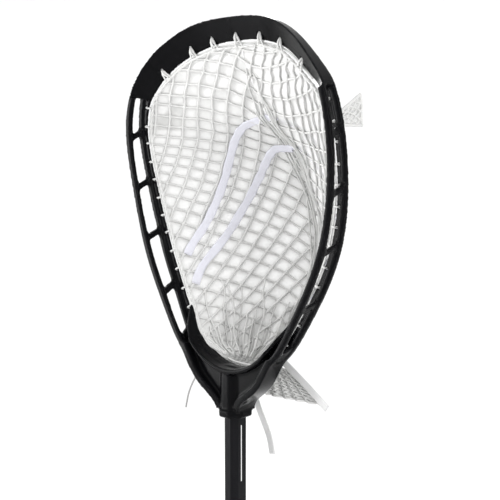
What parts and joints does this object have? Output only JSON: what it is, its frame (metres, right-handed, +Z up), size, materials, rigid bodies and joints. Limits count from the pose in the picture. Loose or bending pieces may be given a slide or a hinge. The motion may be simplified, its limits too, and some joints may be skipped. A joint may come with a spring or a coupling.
{
  "type": "lacrosse stick",
  "caption": "Goalie lacrosse stick: wide moulded head on an octagonal handle, deep laced mesh pocket with shooting laces, rubber butt cap.",
  "frame": {"origin": "centre of the end cap's bottom face, at the butt of the handle", "axes": "+Z up the handle to the head, the head's open face looks along -Y, +X to the right seen from the open face"},
  "size_m": [0.32, 0.1877, 1.177],
  "materials": {
    "black_alloy": "satin",
    "black_rubber": "matt",
    "black_nylon": "gloss",
    "screw_steel": "blackened",
    "white_mesh": "braided",
    "white_string": "braided",
    "white_lace": "flat woven"
  },
  "bodies": {
    "stick": {"shaft": "black_alloy", "head_throat": "black_nylon", "head_sidewall_left": "black_nylon", "head_sidewall_right": "black_nylon", "head_scoop": "black_nylon", "mesh_pocket": "white_mesh", "mesh_tail": "white_mesh", "mesh_corner_left": "white_mesh", "mesh_corner_right": "white_mesh", "top_string": "white_string", "bottom_string": "white_string", "sidewall_string_left": "white_string", "sidewall_string_right": "white_string", "shooting_lace_lower": "white_lace", "shooting_lace_upper": "white_lace", "lace_tail_right": "white_lace", "lace_tail_back": "white_lace", "string_tail_left": "white_string"},
    "end_cap": {"end_cap": "black_rubber"},
    "head_screw": {"head_screw": "screw_steel"}
  },
  "joints": [
    {"name": "end_cap_pull", "type": "slide", "parent": "stick", "child": "end_cap", "axis": [0, 0, -1], "range_m": [0, 0.03]},
    {"name": "head_screw_turn", "type": "hinge", "parent": "stick", "child": "head_screw", "pos_m": [0, 0, 0.739], "axis": [0, 1, 0], "continuous": true}
  ]
}
